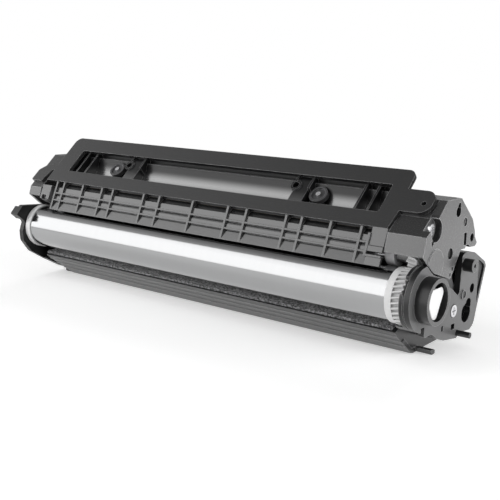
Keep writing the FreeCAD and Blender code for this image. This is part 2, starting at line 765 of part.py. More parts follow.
def make_discs():
    """Two eyelets in the window, each on a bright stud in the tank's wall."""
    studs = []
    for name, share in disc_shares:
        x = share * window_half
        foot = disc_top + 4.2
        base = frame_rod(x, disc_climb, disc_radius / 2.0, disc_top + over, foot)
        rim = frame_rod(x, disc_climb, disc_radius, disc_top, disc_top + disc_height)
        dish = frame_rod(x, disc_climb, disc_radius - disc_rim, disc_top - over, disc_top + 0.8)
        hole = frame_rod(x, disc_climb, stud_radius, disc_top, foot + over)
        pieces["window_disc_" + name] = joined(rim.cut(dish), base).cut(hole)
        head = frame_rod(x, disc_climb, stud_radius + 0.4, disc_top - 0.2, disc_top + 0.8)
        studs.append(joined(head, frame_rod(x, disc_climb, stud_radius, disc_top, foot - 0.2)))
    pieces["disc_studs"] = Part.makeCompound(studs)


# Hopper: the top frame with its window, ears and ribbed guide, one moulding
def make_frame():
    ear_end = frame_right + ear_reach
    plate = frame_slab(
        ((-frame_left, 0.0), (frame_right, 0.0), (frame_right + 1.0, ear_low), (ear_end, ear_low, 6.0),
         (ear_end, ear_high, 5.0), (frame_right, ear_high), (frame_right, frame_climb, 4.0),
         (-frame_left, frame_climb, 4.0)), 0.0, frame_depth)
    window = frame_slab(
        ((-window_half, window_low), (window_half, window_low), (window_half, window_high),
         (-window_half, window_high)), -over, frame_depth + over, 1.0)
    edge = -frame_left
    loop = frame_slab(
        ((edge + 1.5, 11.5), (edge - 8.0, 11.5, 4.0), (edge - 13.0, 6.5, 2.5), (edge - 13.0, -1.5, 1.0),
         (edge - 3.8, -1.5, 0.5), (edge - 3.5, 1.5, 0.5), (edge - 1.6, 7.5, 0.5), (edge + 1.5, 8.5)),
        0.0, frame_depth)
    hole_x = ear_end - 4.2
    hole_climb = (ear_low + ear_high) / 2.0 - 1.0
    hole = frame_rod(hole_x, hole_climb, ear_hole, -over, frame_depth + over)
    body = joined(plate, loop).cut(window).cut(hole)
    pieces["top_frame"] = joined(body, *guide_solids())


def guide_solids():
    """The stepped louvre skin, its ribs, and the smooth shell at its right end."""
    rows = ((0.0, 6.8, 3.0), (6.8, 11.0, 1.5), (11.0, guide_length, 1.5))
    front = []
    for top, low, deep in rows:
        front.append(on_guide(top + 0.8, deep))
        if low < guide_length:
            front.append(on_guide(0.45 * top + 0.55 * low, 1.0))
            front.append(on_guide(low - 0.3, 1.0))
            front.append(on_guide(low - 0.1, 0.15))
            front.append(on_guide(low + 0.7, 0.1))
        else:
            front.append(on_guide(low, 0.0))
    behind = [on_guide(guide_length, 1.3), on_guide(11.3, 2.7), on_guide(7.4, 2.6)]
    root = [on_guide(4.5, 3.0), on_guide(0.5, 4.4)]
    skin = prism(front + behind + root, -guide_half - rib_width, guide_half)
    rib = [on_guide(0.3), on_guide(guide_length)] + behind + [on_guide(0.5, 4.4)]
    solids = [skin, prism(rib, -guide_half - rib_width, -guide_half)]
    for share in guide_rib_shares:
        for x in {share * guide_half, -share * guide_half}:
            solids.append(prism(rib, x - rib_width / 2.0, x + rib_width / 2.0))
    shell = (on_guide(0.0), on_guide(8.2), on_guide(8.6, -0.4), on_guide(11.0, -0.4), on_guide(11.0, 1.6),
             on_guide(1.4, 1.9), on_guide(1.0, 4.4))
    solids.append(prism(shell, guide_half, block_end))
    hook = (on_guide(3.0, -0.7), on_guide(13.4, -0.7), on_guide(13.4, 1.3), on_guide(3.0, 1.3))
    solids.append(prism(hook, guide_half - rib_width, guide_half + bite))
    foot = (on_guide(12.5, -0.7), on_guide(13.4, -0.7), on_guide(13.4, 1.3), on_guide(12.5, 1.3))
    solids.append(prism(foot, guide_half - bite, block_end))
    lower_lip = (
        on_guide(13.4, 0.1), on_guide(guide_length), on_guide(guide_length, 1.3), on_guide(13.3, 1.3))
    solids.append(prism(lower_lip, guide_half - bite, block_end))
    return solids


# Hopper: end caps over the gears and the bearings
def cap_shell(x_low, x_high, wall_low, wall_high):
    """A cap's end plate with its skirt, which is open below the tank."""
    plate = prism(hopper_outline, x_low, x_high, 0.8)
    skirt = prism(hopper_outline, wall_low, wall_high)
    skirt = skirt.cut(inset_prism(hopper_outline, wall_low - over, wall_high + over, wall))
    skirt = skirt.cut(block(wall_low - over, wall_high + over, -8, 60, 0, 18.6))
    return joined(plate, skirt)


def make_right_hopper_cap():
    start = block_end + 0.5
    body = cap_shell(hopper_inner, hopper_x, start, hopper_inner)
    floor = rod(hopper_x - pocket_depth - 0.8, hopper_inner + 0.5, pocket_radius + over, pocket_place)
    floor = floor.common(prism(hopper_outline, start, hopper_inner + over))
    body = joined(body, floor)
    body = body.cut(rod(hopper_inner - over, hopper_x + over, pivot_radius + run_gap, pivot_place))
    body = body.cut(rod(hopper_x - pocket_depth, hopper_x + over, pocket_radius, pocket_place))
    for place, teeth in ((developer_place, developer_teeth), (agitator_place, agitator_teeth)):
        reach = gear_module * (teeth / 2.0 + 1.0) + clearance
        body = body.cut(rod(gear_start - clearance, gear_end + run_gap, reach, place))
    body = body.cut(rod(start - over, gear_start, sleeve_radius + clearance, developer_place))
    body = body.cut(ear_room(start))
    face_disc = rod(hopper_x - bite, hopper_x + face_disc_height, face_disc_radius, face_disc_place)
    body = joined(body, face_disc.common(prism(hopper_outline, hopper_x - over, hopper_x + over)))
    pieces["hopper_cap_right"] = body.cut(cap_holes())


def ear_room(start):
    """The space under the frame's right ear."""
    low = ear_low - clearance
    room = frame_slab(
        ((start - 5, low), (hopper_x + 5, low), (hopper_x + 5, 30), (start - 5, 30)),
        -9.0, frame_depth + seat_gap)
    return room.common(block(start - 6, frame_right + ear_reach + clearance, -20, 60, 0, 80))


def cap_holes():
    low = hopper_inner - over
    high = hopper_x + over
    channel = ((5.0, 26.3), (11.8, 30.9), (6.8, 38.3), (0.0, 33.7))
    notch = ((3.4, 24.6), (5.2, 21.8), (7.2, 24.4))
    holes = [
        prism(channel, hopper_x - pocket_depth, high),
        prism(notch, hopper_x - 1.2, high),
        rod(low, high, 2.4, (28.7, 33.9)),
        rod(low, high, 1.5, (29.4, 36.4)),
        rod(hopper_x - 1.0, high, 2.0, (35.9, 28.2)),
        block(low, high, 35.4, 38.2, 17.4, 23.2),
        block(low, high, 24.4, 26.0, 7.6, 9.5),
        block(low, high, 22.6, 24.0, 5.4, 7.0),
        rod(low, high, 2.0, (43.7, 19.8))]
    return holes


def make_left_hopper_cap():
    outer = -hopper_left_x
    inner = 2.0 - hopper_left_x
    body = cap_shell(outer, inner, inner, inner + left_cap_width)
    body = body.cut(rod(outer - over, inner + over, pivot_radius + run_gap, pivot_place))
    pieces["hopper_cap_left"] = body.cut(frame_slab(
        ((outer - 9.5, -8.0), (outer + 20.5, -8.0), (outer + 20.5, 30.0), (outer - 9.5, 30.0)),
        -9.0, frame_depth + seat_gap))


def make_pivot_pins():
    """The two pins that the hopper swings on, each fixed in an end plate of the bin."""
    pieces["pivot_pin_right"] = rod(gear_end + 0.4, hopper_x - 0.8, pivot_radius, pivot_place)
    pieces["pivot_pin_left"] = rod(0.8 - hopper_left_x, -cap_inner, pivot_radius, pivot_place)


# Developer roller: a sleeve that turns about a fixed magnet
neck_length = 5.3
spacer_width = 4.5


def make_developer():
    spacer_low = sleeve_half + neck_length
    spacer = sleeve_radius + 0.1
    pieces["developer_sleeve"] = tube(-sleeve_half, sleeve_half, sleeve_radius, sleeve_bore, developer_place)
    pieces["magnet_core"] = rod(-sleeve_half - magnet_past, sleeve_half - 3.0, magnet_radius, developer_place)
    pieces["developer_shaft"] = joined(
        rod(sleeve_half - 2.0, sleeve_half, sleeve_bore, developer_place),
        rod(sleeve_half, spacer_low, neck, developer_place),
        rod(spacer_low, gear_end, journal, developer_place))
    pieces["developer_spacer_right"] = tube(
        spacer_low, spacer_low + spacer_width, spacer, journal, developer_place)
    pieces["developer_spacer_left"] = tube(
        -sleeve_half - spacer_width, -sleeve_half, spacer, magnet_radius + run_gap, developer_place)
    pieces["developer_gear"] = helical_gear(developer_teeth, journal, developer_place, developer_phase, -1)


def make_right_bearing():
    """The plate that carries the roller's driven end and the train's shafts."""
    low = sleeve_half + neck_length + spacer_width + side_gap
    bearing = prism(
        ((developer_y - 4.8, developer_z - 3.0, 3.0), (developer_y + 3.0, developer_z - 5.4, 2.0),
         moved(idler_place, -1.0, -3.0), moved(agitator_place, 6.0, -5.0), moved(agitator_place, 5.0, 7.0),
         (11.0, 28.0), (2.5, 23.5)), low, bearing_end, 2.0)
    holes = (
        (journal + run_gap, developer_place), (agitator_radius + agitator_boss, agitator_place),
        (idler_stud, idler_place))
    for radius, place in holes:
        bearing = bearing.cut(rod(low - over, bearing_end + over, radius, place))
    pieces["developer_bearing_right"] = bearing


def make_left_bearing():
    """The block that holds the fixed end of the magnet and the sleeve's left end."""
    high = -tank_half
    low = -sleeve_half - magnet_past
    body = prism(
        (on_guide(3.0, 0.0), on_guide(11.6, 0.0), on_guide(12.4, 3.4), (developer_y, 10.9, 2.0),
         (developer_y + 9.0, developer_z - 4.0, 2.0), (16.0, 26.0), on_guide(3.0, 4.0)), low, high, 0.5)
    body = body.cut(rod(low - over, high + over, magnet_radius, developer_place))
    room_low = -sleeve_half - spacer_width - side_gap
    body = body.cut(rod(room_low, high + over, sleeve_radius + 0.4, developer_place))
    body = body.cut(rod(low - over, high + over, drum_radius + 2.4))
    window = block(low + 1.2, high - 2.5, -12.0, -1.0, developer_z - 0.4, developer_z + 2.6)
    pieces["developer_bearing_left"] = body.cut(window)


def make_doctor():
    """A steel bracket across the hopper, with the blade that levels the toner on the sleeve."""
    tip = (developer_y + 1.2, developer_z + sleeve_radius + air_gap - 0.1)
    bracket_low = (tank_front_y - 0.95, 25.65)
    pieces["doctor_blade"] = prism(
        (tip, moved(tip, 0.9, 0.1), moved(bracket_low, -0.05, -0.05), moved(bracket_low, -0.75, 0.75)),
        -blade_half, blade_half)
    pieces["doctor_bracket"] = prism(
        (moved(bracket_low, -0.75, 0.8), bracket_low, (bracket_low[0], 21.0), (tank_front_y - 0.05, 21.0),
         (tank_front_y - 0.05, 26.2), (tank_front_y - 0.8, 26.8)), -blade_half - 0.5, blade_half + 0.5)


def screw(x, place, head, shank, length, side):
    """A pan-head screw with a cross recess, its head's underside at x, driven towards the middle."""
    face = x + side * screw_head_height
    point = x - side * length
    top = rod(min(x, face), max(x, face), head, place)
    stem = rod(min(x, point), max(x, point), shank, place)
    wide = head * 0.6
    thin = screw_slot / 2.0
    slot = block(face - 0.6, face + 0.6, place[0] - wide, place[0] + wide, place[1] - thin, place[1] + thin)
    cross = block(face - 0.6, face + 0.6, place[0] - thin, place[0] + thin, place[1] - wide, place[1] + wide)
    return joined(top, stem).cut(slot.fuse(cross))


def make_screws():
    pocket_floor = hopper_x - pocket_depth
    small_head = screw_head - 0.3
    small_shank = screw_shank - 0.1
    pieces["end_plate_screw"] = screw(
        plate_x - screw_recess, plate_screw_place, screw_head, screw_shank, plate_screw_length, 1)
    pieces["hopper_cap_screw"] = screw(
        pocket_floor, pocket_place, small_head, small_shank, hopper_screw_length, 1)
    pieces["end_cap_screw"] = screw(
        -cap_x, cap_screw_place, screw_head, screw_shank, cap_screw_length, -1)
    pieces["hopper_cap_left_screw"] = screw(
        -hopper_left_x, left_screw_place, screw_head, screw_shank, left_screw_length, -1)


def make_pressure_springs():
    for name, x in (("left", -spring_x), ("right", spring_x)):
        spring = coil(spring_length, spring_radius, spring_wire, spring_turns)
        spring.translate(Vec(x, spring_place[0], spring_place[1]))
        pieces["pressure_spring_" + name] = spring


def make_gears():
    pieces["idler_gear"] = helical_gear(idler_teeth, idler_stud + run_gap, idler_place, idler_phase, 1)
    pieces["agitator_gear"] = helical_gear(
        agitator_teeth, agitator_radius, agitator_place, agitator_phase, -1)
    pieces["agitator_shaft"] = rod(-tank_half, gear_end, agitator_radius, agitator_place)
    y, z = agitator_place
    paddle_half = tank_half - 3.0 * wall
    pieces["agitator_paddle"] = block(
        -paddle_half, paddle_half, y + agitator_radius, y + paddle_reach,
        z - paddle_thickness / 2.0, z + paddle_thickness / 2.0)


make_drum()
make_charge_roller()
make_waste_bin()
make_wiper()
make_felt()
make_right_plate()
make_left_cap()
make_tank()
make_discs()
make_frame()
make_right_hopper_cap()
make_left_hopper_cap()
make_pivot_pins()
make_developer()
make_right_bearing()
make_left_bearing()
make_doctor()
make_screws()
make_pressure_springs()
make_gears()

# Every screw, pin and plug sits in a hole of its own size
seats = (
    ("end_plate_right", "end_plate_screw"), ("waste_bin", "end_plate_screw"),
    ("end_plate_right", "locating_pin"), ("end_plate_right", "pivot_pin_right"),
    ("end_cap_left", "pivot_pin_left"), ("end_cap_left", "end_cap_screw"), ("waste_bin", "end_cap_screw"),
    ("hopper_cap_left", "hopper_cap_left_screw"),
    ("toner_tank", "hopper_cap_left_screw"), ("hopper_cap_right", "hopper_cap_screw"),
    ("developer_bearing_right", "hopper_cap_screw"), ("toner_tank", "fill_plug"),
    ("toner_tank", "disc_studs"), ("toner_tank", "window_disc_left"), ("toner_tank", "window_disc_right"))
for carrier, insert in seats:
    pieces[carrier] = pieces[carrier].cut(pieces[insert])

# The origin is the middle of the base
box = FreeCAD.BoundBox()
for shape in pieces.values():
    box.add(shape.optimalBoundingBox())
shift = Vec(-(box.XMin + box.XMax) / 2.0, -(box.YMin + box.YMax) / 2.0, -box.ZMin)
os.makedirs("parts", exist_ok=True)
for name, shape in pieces.items():
    shape.translate(shift)
    solids = shape.Solids
    kept = solids[0] if len(solids) == 1 else Part.makeCompound(solids)
    kept.exportStep("parts/" + name + ".step")
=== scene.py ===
import bpy
import json
import math
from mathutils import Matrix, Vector


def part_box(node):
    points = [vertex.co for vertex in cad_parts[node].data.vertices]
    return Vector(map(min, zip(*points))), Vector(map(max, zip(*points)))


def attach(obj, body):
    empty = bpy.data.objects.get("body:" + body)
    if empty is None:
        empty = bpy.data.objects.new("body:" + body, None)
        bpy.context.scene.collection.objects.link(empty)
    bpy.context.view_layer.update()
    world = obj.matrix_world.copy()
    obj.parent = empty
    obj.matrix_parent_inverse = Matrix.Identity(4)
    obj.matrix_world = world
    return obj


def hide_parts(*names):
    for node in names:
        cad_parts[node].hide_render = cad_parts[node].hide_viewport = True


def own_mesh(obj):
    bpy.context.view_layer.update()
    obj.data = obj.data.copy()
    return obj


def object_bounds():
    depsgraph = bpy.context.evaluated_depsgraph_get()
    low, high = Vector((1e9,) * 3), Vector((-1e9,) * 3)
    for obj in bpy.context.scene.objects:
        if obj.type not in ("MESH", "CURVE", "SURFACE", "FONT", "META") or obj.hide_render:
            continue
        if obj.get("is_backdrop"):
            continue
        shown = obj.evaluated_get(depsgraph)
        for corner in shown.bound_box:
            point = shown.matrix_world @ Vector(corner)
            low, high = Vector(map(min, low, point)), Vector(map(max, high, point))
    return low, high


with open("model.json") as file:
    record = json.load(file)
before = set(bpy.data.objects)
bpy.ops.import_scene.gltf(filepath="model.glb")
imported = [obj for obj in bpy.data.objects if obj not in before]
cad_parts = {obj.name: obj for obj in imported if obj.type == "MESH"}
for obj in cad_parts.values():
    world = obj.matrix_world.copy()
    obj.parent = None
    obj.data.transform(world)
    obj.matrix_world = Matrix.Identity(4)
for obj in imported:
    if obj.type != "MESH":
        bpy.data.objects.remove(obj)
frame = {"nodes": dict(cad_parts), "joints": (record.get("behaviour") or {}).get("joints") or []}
cad_low, cad_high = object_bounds()
nodes = frame["nodes"]

# Waste bin: one black injection moulding, the tub behind the drum with the tray and tongue in front.
# The tool was spark eroded, so the skin is a fine matt grain; its edges are paler, a painted highlight that
# also stands for rubbed wear.


def new_group(name, inputs, outputs):
    """A shared effect: (name, kind, value) for each socket going in, (name, kind) for each coming out."""
    group = bpy.data.node_groups.new(name, "ShaderNodeTree")
    for label, kind, value in inputs:
        socket = group.interface.new_socket(label, in_out="INPUT", socket_type="NodeSocket" + kind)
        if value is not None:
            socket.default_value = value
    for label, kind in outputs:
        group.interface.new_socket(label, in_out="OUTPUT", socket_type="NodeSocket" + kind)
    start = group.nodes.new("NodeGroupInput")
    end = group.nodes.new("NodeGroupOutput")
    return group, start.outputs, end.inputs


def add(tree, kind, **settings):
    """A node with its settings; a setting that names an input socket sets that socket."""
    node = tree.nodes.new(kind)
    for key, value in settings.items():
        label = key.replace("_", " ")
        if label in node.inputs:
            node.inputs[label].default_value = value
        else:
            setattr(node, key, value)
    return node


def sum_of(tree, operation, first, second):
    """A Math node fed by two sockets or numbers."""
    node = tree.nodes.new("ShaderNodeMath")
    node.operation = operation
    for slot, value in enumerate((first, second)):
        if isinstance(value, (int, float)):
            node.inputs[slot].default_value = value
        else:
            tree.links.new(value, node.inputs[slot])
    return node.outputs[0]


cloud_size = 38.0
glint_wear_starts = 0.004
glint_wear_full = 0.12
corner_reach = 0.0025
open_corner = 0.7
closed_corner = 0.3
# Black for the painted shade in recesses.
recess_shade_black = (0.01, 0.01, 0.01, 1)
gloss_swing = 0.12
moulded_skin, taken, given = new_group(
    "moulded skin",
    (("Vector", "Vector", None), ("Colour", "Color", (0.02, 0.02, 0.02, 1)),
     ("Face Colour", "Color", (0.02, 0.02, 0.02, 1)), ("Edge Colour", "Color", (0.2, 0.2, 0.2, 1)),
     ("Edge Width", "Float", 0.0006), ("Edge Strength", "Float", 0.6), ("Cloud", "Float", 0.3),
     ("Grain Scale", "Float", 2200.0), ("Grain Depth", "Float", 0.00003), ("Roughness", "Float", 0.45),
     ("Face Roughness", "Float", 0.45), ("Recess Shade", "Float", 0.0)),
    (("Colour", "Color"), ("Roughness", "Float"), ("Normal", "Vector")))
tree = moulded_skin
cloud = add(tree, "ShaderNodeTexNoise", Scale=cloud_size, Detail=4.0, Roughness=0.6)
tree.links.new(taken["Vector"], cloud.inputs["Vector"])
grain = add(tree, "ShaderNodeTexNoise", Detail=3.0, Roughness=0.65)
tree.links.new(taken["Vector"], grain.inputs["Vector"])
tree.links.new(taken["Grain Scale"], grain.inputs["Scale"])
# Edges found by the bevel are lightened towards the edge colour: a painted highlight, partly rubbed wear.
soft = add(tree, "ShaderNodeBevel", samples=4)
tree.links.new(taken["Edge Width"], soft.inputs["Radius"])
surface = add(tree, "ShaderNodeNewGeometry")
facing = add(tree, "ShaderNodeVectorMath", operation="DOT_PRODUCT")
tree.links.new(soft.outputs[0], facing.inputs[0])
tree.links.new(surface.outputs["Normal"], facing.inputs[1])
turned = sum_of(tree, "SUBTRACT", 1.0, facing.outputs["Value"])
glint_wear = add(tree, "ShaderNodeMapRange", From_Min=glint_wear_starts, From_Max=glint_wear_full)
tree.links.new(turned, glint_wear.inputs["Value"])
glint_wear_share = sum_of(tree, "MULTIPLY", glint_wear.outputs["Result"], taken["Edge Strength"])
shade = sum_of(tree, "MULTIPLY", sum_of(tree, "SUBTRACT", cloud.outputs["Fac"], 0.5), taken["Cloud"])
gain = sum_of(tree, "ADD", 1.0, shade)
tint = add(tree, "ShaderNodeVectorMath", operation="SCALE")
along = add(tree, "ShaderNodeSeparateXYZ")
tree.links.new(surface.outputs["Normal"], along.inputs[0])
# Faces turned along the drum take the face colour: painted light on the paler plates and caps, painted shade
# on the frame's rib sides.
end_on = add(tree, "ShaderNodeMapRange", From_Min=0.8, From_Max=0.95)
tree.links.new(sum_of(tree, "ABSOLUTE", along.outputs["X"], 0.0), end_on.inputs["Value"])
painted_face_light = add(tree, "ShaderNodeMix", data_type="RGBA")
tree.links.new(end_on.outputs["Result"], painted_face_light.inputs["Factor"])
tree.links.new(taken["Colour"], painted_face_light.inputs[6])
tree.links.new(taken["Face Colour"], painted_face_light.inputs[7])
tree.links.new(painted_face_light.outputs[2], tint.inputs[0])
tree.links.new(gain, tint.inputs["Scale"])
# Recesses found by occlusion are darkened towards black: painted shade.
corner = add(tree, "ShaderNodeAmbientOcclusion", samples=8, Distance=corner_reach)
buried = add(tree, "ShaderNodeMapRange", From_Min=open_corner, From_Max=closed_corner)
tree.links.new(corner.outputs["AO"], buried.inputs["Value"])
recess_shaded = add(tree, "ShaderNodeMix", data_type="RGBA")
recess_shaded.inputs[7].default_value = recess_shade_black
tree.links.new(sum_of(tree, "MULTIPLY", buried.outputs["Result"], taken["Recess Shade"]), recess_shaded.inputs["Factor"])
tree.links.new(tint.outputs[0], recess_shaded.inputs[6])
blend = add(tree, "ShaderNodeMix", data_type="RGBA")
tree.links.new(glint_wear_share, blend.inputs["Factor"])
tree.links.new(recess_shaded.outputs[2], blend.inputs[6])
tree.links.new(taken["Edge Colour"], blend.inputs[7])
tree.links.new(blend.outputs[2], given["Colour"])
matt = sum_of(tree, "MULTIPLY", sum_of(tree, "SUBTRACT", grain.outputs["Fac"], 0.5), gloss_swing)
gloss = add(tree, "ShaderNodeMix", data_type="FLOAT")
tree.links.new(end_on.outputs["Result"], gloss.inputs["Factor"])
tree.links.new(taken["Roughness"], gloss.inputs[2])
tree.links.new(taken["Face Roughness"], gloss.inputs[3])
tree.links.new(sum_of(tree, "ADD", gloss.outputs[0], matt), given["Roughness"])
pits = add(tree, "ShaderNodeBump", Strength=1.0)
tree.links.new(taken["Grain Depth"], pits.inputs["Distance"])
tree.links.new(grain.outputs["Fac"], pits.inputs["Height"])
tree.links.new(soft.outputs[0], pits.inputs["Normal"])
tree.links.new(pits.outputs[0], given["Normal"])


def new_finish(name, **settings):
    """A material with one Principled shader; returns the material, its tree and the shader's inputs."""
    material = bpy.data.materials.new(name)
    material.use_nodes = True
    tree = material.node_tree
    shader = tree.nodes["Principled BSDF"]
    for key, value in settings.items():
        shader.inputs[key.replace("_", " ")].default_value = value
    return material, tree, shader.inputs


def moulding(name, colour, edge, roughness, face=None, face_roughness=None, edge_width=0.0005,
             edge_strength=0.7, cloud=0.3, recess_shade=0.0, grain_depth=0.00003, **settings):
    """A plastic moulding: the shared skin with its own colours and gloss; its end faces can take their own
    colour: paler for painted light, darker for painted shade.
    """
    material, tree, shader = new_finish(name, **settings)
    place = add(tree, "ShaderNodeTexCoord")
    skin = add(tree, "ShaderNodeGroup", node_tree=moulded_skin)
    skin.inputs["Colour"].default_value = (*colour, 1)
    skin.inputs["Face Colour"].default_value = (*(face or colour), 1)
    skin.inputs["Edge Colour"].default_value = (*edge, 1)
    skin.inputs["Edge Width"].default_value = edge_width
    skin.inputs["Edge Strength"].default_value = edge_strength
    skin.inputs["Cloud"].default_value = cloud
    skin.inputs["Grain Depth"].default_value = grain_depth
    skin.inputs["Roughness"].default_value = roughness
    skin.inputs["Face Roughness"].default_value = face_roughness or roughness
    skin.inputs["Recess Shade"].default_value = recess_shade
    tree.links.new(place.outputs["Object"], skin.inputs["Vector"])
    tree.links.new(skin.outputs["Colour"], shader["Base Color"])
    tree.links.new(skin.outputs["Roughness"], shader["Roughness"])
    tree.links.new(skin.outputs["Normal"], shader["Normal"])
    return material


def dress(material, *names):
    """Gives solids of the frame this material."""
    for name in names:
        nodes[name].data.materials.clear()
        nodes[name].data.materials.append(material)


bin_black = moulding("bin black", (0.02, 0.02, 0.0205), (0.42, 0.42, 0.425), 0.34, Specular_IOR_Level=0.8)
dress(bin_black, "waste_bin")

# End plates: the same black polystyrene, shining at a glance; faces along the drum are paler, a painted
# light.
# The right one holds the drum's boss, the left one the axle pin; both are screwed to the bin.
plate_black = moulding("end plate black", (0.014, 0.014, 0.0145), (0.50, 0.50, 0.505), 0.3,
                       face=(0.105, 0.105, 0.106), edge_width=0.0004, cloud=0.25, Specular_IOR_Level=0.4)
dress(plate_black, "end_plate_right")
# The left cap is a darker black than the right plate, with no paler faces: painted shade, as its inside lies
# in shadow.
left_shaded_black = moulding("left cap shaded black", (0.006, 0.006, 0.0062), (0.30, 0.30, 0.305), 0.4, edge_width=0.0004,
                      Specular_IOR_Level=0.4)
dress(left_shaded_black, "end_cap_left")

# Drum: an aluminium tube with a glossy photoconductive coat, glued on two white acetal flanges.
# The coat is a thin clear film over grey, with the faintest turning marks round it.
drum_coat, tree, shader = new_finish("drum coat", Metallic=1.0)
place = add(tree, "ShaderNodeTexCoord")
stretch = add(tree, "ShaderNodeMapping", Scale=(900.0, 12.0, 12.0))
tree.links.new(place.outputs["Object"], stretch.inputs["Vector"])
marks = add(tree, "ShaderNodeTexNoise", Scale=1.0, Detail=2.0)
tree.links.new(stretch.outputs[0], marks.inputs["Vector"])
tone = add(tree, "ShaderNodeMix", data_type="RGBA")
tone.inputs[6].default_value = (0.335, 0.337, 0.34, 1)
tone.inputs[7].default_value = (0.35, 0.352, 0.355, 1)
tree.links.new(marks.outputs["Fac"], tone.inputs["Factor"])
tree.links.new(tone.outputs[2], shader["Base Color"])
polish = add(tree, "ShaderNodeMapRange", To_Min=0.125, To_Max=0.145)
tree.links.new(marks.outputs["Fac"], polish.inputs["Value"])
tree.links.new(polish.outputs[0], shader["Roughness"])
dress(drum_coat, "drum_tube")
# The white acetal parts are darkened in their recesses: painted shade.
gear_white = moulding("gear white", (0.86, 0.86, 0.86), (0.9, 0.9, 0.9), 0.38, cloud=0.06, recess_shade=0.5,
                      grain_depth=0.00001)
dress(gear_white, "drum_drive_flange", "drum_contact_flange")

# Charge roller: carbon-loaded rubber ground round on a nickel-plated core, in two white saddles.
charge_rubber = moulding("charge rubber", (0.03, 0.03, 0.032), (0.05, 0.05, 0.05), 0.62, grain_depth=0.00006)
dress(charge_rubber, "charge_roller_rubber")
dress(gear_white, "charge_saddle_left", "charge_saddle_right")

# Metal parts: turned pins, plated screws, springs and shafts, with fine marks along the turning.
# The locating pin is oiled dark steel; the right pivot pin gets the same dark steel as painted shade, so the
# hole it sits in reads dark.


def turned_metal(name, dark, light, smooth, rough):
    """Turned or drawn metal: its tone and gloss vary finely between two values."""
    material, tree, shader = new_finish(name, Metallic=1.0)
    place = add(tree, "ShaderNodeTexCoord")
    turning = add(tree, "ShaderNodeTexNoise", Scale=3500.0, Detail=2.0)
    tree.links.new(place.outputs["Object"], turning.inputs["Vector"])
    tone = add(tree, "ShaderNodeMix", data_type="RGBA")
    tone.inputs[6].default_value = (dark, dark, dark * 1.02, 1)
    tone.inputs[7].default_value = (light, light, light * 1.02, 1)
    tree.links.new(turning.outputs["Fac"], tone.inputs["Factor"])
    tree.links.new(tone.outputs[2], shader["Base Color"])
    polish = add(tree, "ShaderNodeMapRange", To_Min=smooth, To_Max=rough)
    tree.links.new(turning.outputs["Fac"], polish.inputs["Value"])
    tree.links.new(polish.outputs[0], shader["Roughness"])
    return material


bright_metal = turned_metal("bright metal", 0.55, 0.85, 0.18, 0.34)
dress(bright_metal, "charge_roller_core", "charge_spring_left", "charge_spring_right", "drum_axle_pin",
      "pivot_pin_left", "end_plate_screw", "hopper_cap_screw", "end_cap_screw", "hopper_cap_left_screw",
      "disc_studs", "developer_shaft", "pressure_spring_left", "pressure_spring_right", "drum_earth_plate",
      "wiper_bracket", "doctor_bracket")
dark_steel = turned_metal("dark steel", 0.05, 0.09, 0.3, 0.4)
dress(dark_steel, "locating_pin", "pivot_pin_right")

# Wiper, recovery film and doctor blade: urethane and polyester strips glued to steel.
# The agitator's paddle is cut from the same film.
urethane = moulding("urethane", (0.20, 0.13, 0.06), (0.3, 0.22, 0.12), 0.35)
dress(urethane, "wiper_blade", "doctor_blade")
film = moulding("film", (0.35, 0.35, 0.35), (0.5, 0.5, 0.5), 0.2)
dress(film, "recovery_film", "agitator_paddle")

# Felt strip: dark needled felt glued under the drum, its fibres speckled with paper dust.
# One fine noise gives both the specks and the raised nap.
felt, tree, shader = new_finish("felt", Roughness=0.95, Sheen_Weight=0.35)
place = add(tree, "ShaderNodeTexCoord")
fibre = add(tree, "ShaderNodeTexNoise", Scale=950.0, Detail=3.0, Roughness=0.85)
tree.links.new(place.outputs["Object"], fibre.inputs["Vector"])
speck = add(tree, "ShaderNodeValToRGB")
speck.color_ramp.elements[0].position = 0.45
speck.color_ramp.elements[0].color = (0.008, 0.008, 0.009, 1)
speck.color_ramp.elements[1].position = 0.60
speck.color_ramp.elements[1].color = (0.42, 0.42, 0.43, 1)
tree.links.new(fibre.outputs["Fac"], speck.inputs["Fac"])
tree.links.new(speck.outputs["Color"], shader["Base Color"])
nap = add(tree, "ShaderNodeBump", Strength=1.0, Distance=0.0004)
tree.links.new(fibre.outputs["Fac"], nap.inputs["Height"])
tree.links.new(nap.outputs[0], shader["Normal"])
dress(felt, "drum_felt")

# Toner tank: a black tub whose front wall is scooped behind the frame's window.
# The wall is polished low down and fades to the plain moulded skin towards its top.
polish_low = 0.0635
polish_high = 0.0685
tank_black = moulding("tank black", (0.012, 0.012, 0.0125), (0.40, 0.40, 0.405), 0.3, edge_width=0.0004,
                      Specular_IOR_Level=0.3, Coat_Roughness=0.2, Coat_IOR=2.1)
tree = tank_black.node_tree
shader = tree.nodes["Principled BSDF"].inputs
place = add(tree, "ShaderNodeTexCoord")
level = add(tree, "ShaderNodeSeparateXYZ")
tree.links.new(place.outputs["Object"], level.inputs[0])
wiped = add(tree, "ShaderNodeMapRange", interpolation_type="SMOOTHSTEP", From_Min=polish_high,
            From_Max=polish_low)
tree.links.new(level.outputs["Z"], wiped.inputs["Value"])
tree.links.new(wiped.outputs["Result"], shader["Coat Weight"])
dress(tank_black, "toner_tank")
plug_white = moulding("plug white", (0.7, 0.7, 0.69), (0.8, 0.8, 0.8), 0.4, cloud=0.08)
dress(plug_white, "fill_plug")

